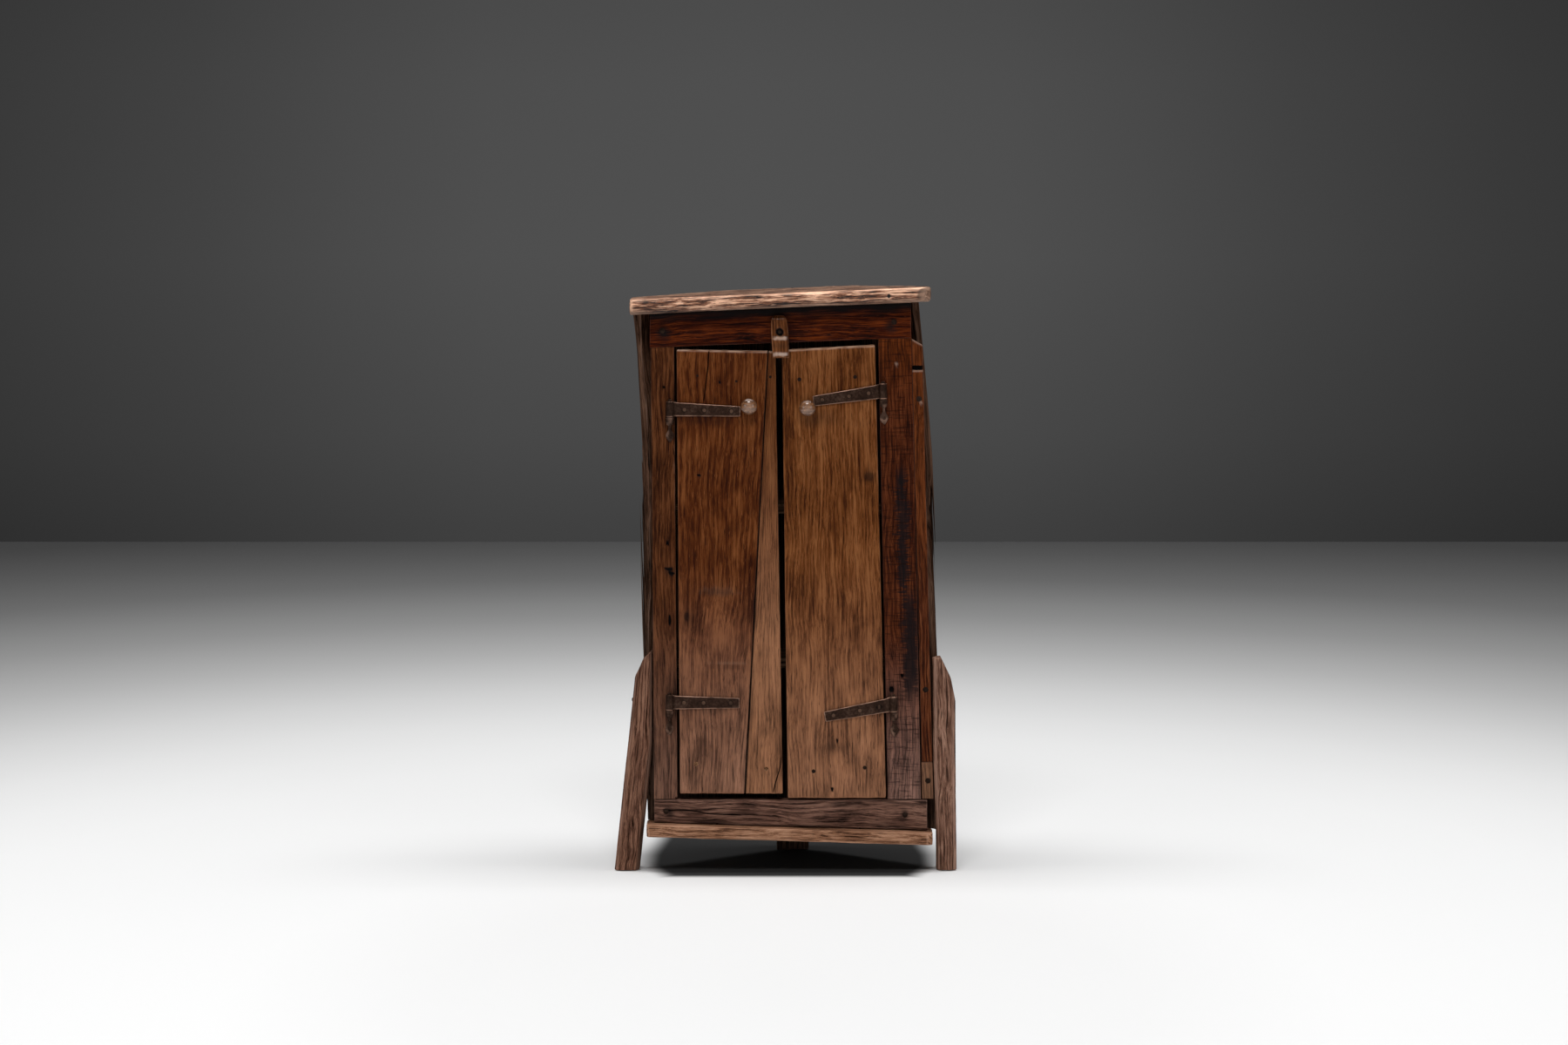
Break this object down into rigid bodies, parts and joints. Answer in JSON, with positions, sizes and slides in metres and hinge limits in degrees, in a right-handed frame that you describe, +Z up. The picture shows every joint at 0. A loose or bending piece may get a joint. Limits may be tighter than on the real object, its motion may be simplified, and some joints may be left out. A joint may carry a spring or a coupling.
{
  "type": "corner cabinet",
  "caption": "Small rustic oak cabinet on three legs, with strap-hinged double doors, live-edge side planks, a sloping top and a wooden turn button.",
  "frame": {"origin": "on the floor, in the middle of the overall width and depth", "axes": "+Z up, +X to the right seen from the front, +Y to the back; the doors face -Y"},
  "size_m": [0.5632, 0.268, 0.9586],
  "materials": {
    "oak_top": "weathered, ridged along the grain, dull wax",
    "oak_red": "red-brown old varnish with black stains",
    "oak_warm": "mid-brown waxed oak with fine streaks",
    "oak_pale": "lighter, greyer oak, hewn and rubbed",
    "oak_dark": "dark rough oak, unplaned",
    "turned_oak": "turned and polished by hands",
    "forged_iron": "hand-forged iron, pitted, brown-grey"
  },
  "bodies": {
    "carcass": {"top_board": "oak_top", "bottom_board": "oak_dark", "top_rail": "oak_red", "bottom_rail": "oak_dark", "left_stile": "oak_warm", "right_stile": "oak_red", "upper_edge_batten": "oak_red", "lower_edge_batten": "oak_red", "left_side_plank": "oak_dark", "right_side_plank": "oak_dark", "rear_post": "oak_dark", "left_leg": "oak_pale", "right_leg": "oak_pale", "lower_shelf": "oak_dark", "upper_shelf": "oak_dark", "lower_left_cleat": "oak_dark", "lower_right_cleat": "oak_dark", "upper_left_cleat": "oak_dark", "upper_right_cleat": "oak_dark", "left_upper_pintle": "forged_iron", "left_lower_pintle": "forged_iron", "right_upper_pintle": "forged_iron", "right_lower_pintle": "forged_iron", "button_nail": "forged_iron", "frame_nails": "forged_iron", "top_nails": "forged_iron", "bottom_nails": "forged_iron", "plank_nails": "forged_iron", "batten_nails": "forged_iron", "leg_spikes": "forged_iron", "cleat_nails": "forged_iron", "pintle_nails": "forged_iron"},
    "left_door": {"left_door_board": "oak_warm", "left_door_strip": "oak_pale", "left_upper_ledge": "oak_dark", "left_lower_ledge": "oak_dark", "left_upper_strap": "forged_iron", "left_lower_strap": "forged_iron", "left_knob": "turned_oak", "left_strap_nails": "forged_iron", "left_ledge_nails": "forged_iron", "left_ledge_pegs": "turned_oak"},
    "right_door": {"right_door_board": "oak_warm", "right_upper_ledge": "oak_dark", "right_lower_ledge": "oak_dark", "right_upper_strap": "forged_iron", "right_lower_strap": "forged_iron", "right_knob": "turned_oak", "right_strap_nails": "forged_iron", "right_ledge_nails": "forged_iron"},
    "latch": {"turn_button": "oak_warm"}
  },
  "joints": [
    {"name": "left_door_swing", "type": "hinge", "parent": "carcass", "child": "left_door", "pos_m": [-0.1896, -0.1125, 0.28], "axis": [-0.0042, 0, -1], "range_deg": [0, 160]},
    {"name": "right_door_swing", "type": "hinge", "parent": "carcass", "child": "right_door", "pos_m": [0.17664, -0.1125, 0.277], "axis": [-0.0357, 0, 0.9994], "range_deg": [0, 160]},
    {"name": "button_turn", "type": "hinge", "parent": "carcass", "child": "latch", "pos_m": [-0.00944, -0.104, 0.885], "axis": [0, 1, 0], "range_deg": [-105, 105]}
  ]
}
